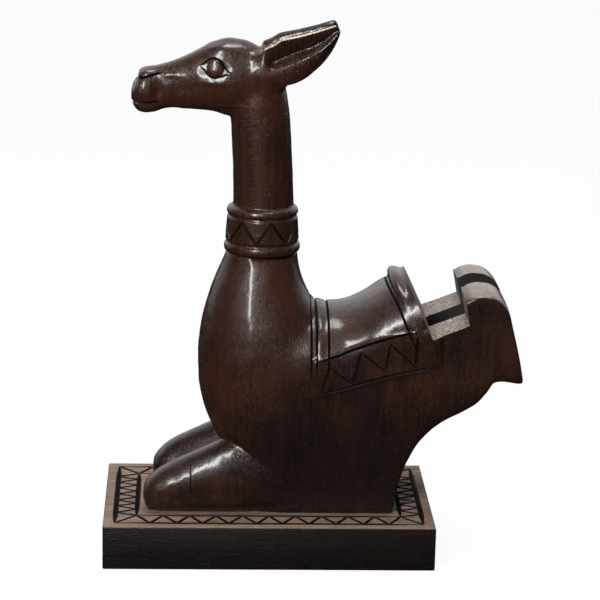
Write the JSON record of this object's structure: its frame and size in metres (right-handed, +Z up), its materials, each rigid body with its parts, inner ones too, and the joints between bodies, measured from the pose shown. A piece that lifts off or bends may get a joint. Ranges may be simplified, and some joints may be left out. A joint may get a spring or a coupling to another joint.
{
  "type": "carved giraffe phone stand",
  "caption": "Kneeling giraffe carved in dark stained wood on a rectangular plinth; a notch behind its saddle holds a phone and a slot between the rump prongs lets the cable through.",
  "frame": {"origin": "centre of the plinth's underside", "axes": "+X towards the rump and the phone notch, -X where the head looks, +Z up, -Y the animal's own left side"},
  "size_m": [0.1754, 0.08, 0.2257],
  "materials": {
    "plinth_wood": "dark stain, satin, grain along X",
    "carved_wood": "dark reddish stain, wax polished, grain upright",
    "dowel_wood": "raw hardwood",
    "screw_steel": "zinc plated"
  },
  "bodies": {
    "root": {"base": "plinth_wood", "body": "carved_wood", "knee_left": "carved_wood", "knee_right": "carved_wood", "neck_head": "carved_wood", "neck_dowel": "dowel_wood", "base_screws": "screw_steel"}
  },
  "joints": []
}
